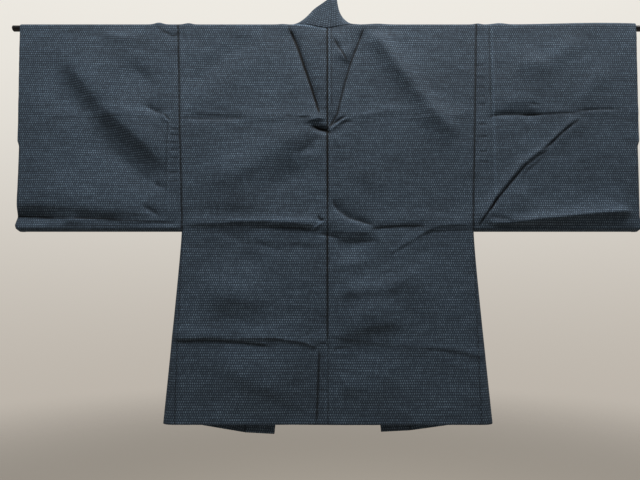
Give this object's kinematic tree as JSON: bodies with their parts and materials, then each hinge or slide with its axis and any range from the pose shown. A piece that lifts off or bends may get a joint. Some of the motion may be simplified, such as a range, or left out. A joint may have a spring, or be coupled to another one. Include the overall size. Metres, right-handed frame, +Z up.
{
  "type": "haori jacket hung on a rod",
  "caption": "Hip-length kimono jacket with square sleeves and a long flat collar, hung flat on a straight round rod through both sleeves.",
  "frame": {"origin": "on the rod's axis, at the garment's centre back seam", "axes": "+X along the rod, +Y from the garment's back to its front, +Z up"},
  "size_m": [1.41, 0.0329, 0.9547],
  "materials": {
    "cloth": "fine indigo weave with pale flecks",
    "collar_cloth": "the same weave, doubled",
    "rod_paint": "satin black paint"
  },
  "bodies": {
    "root": {"body_left": "cloth", "body_right": "cloth", "sleeve_left": "cloth", "sleeve_right": "cloth", "gusset_left": "cloth", "gusset_right": "cloth", "collar": "collar_cloth", "rod": "rod_paint"}
  },
  "joints": []
}
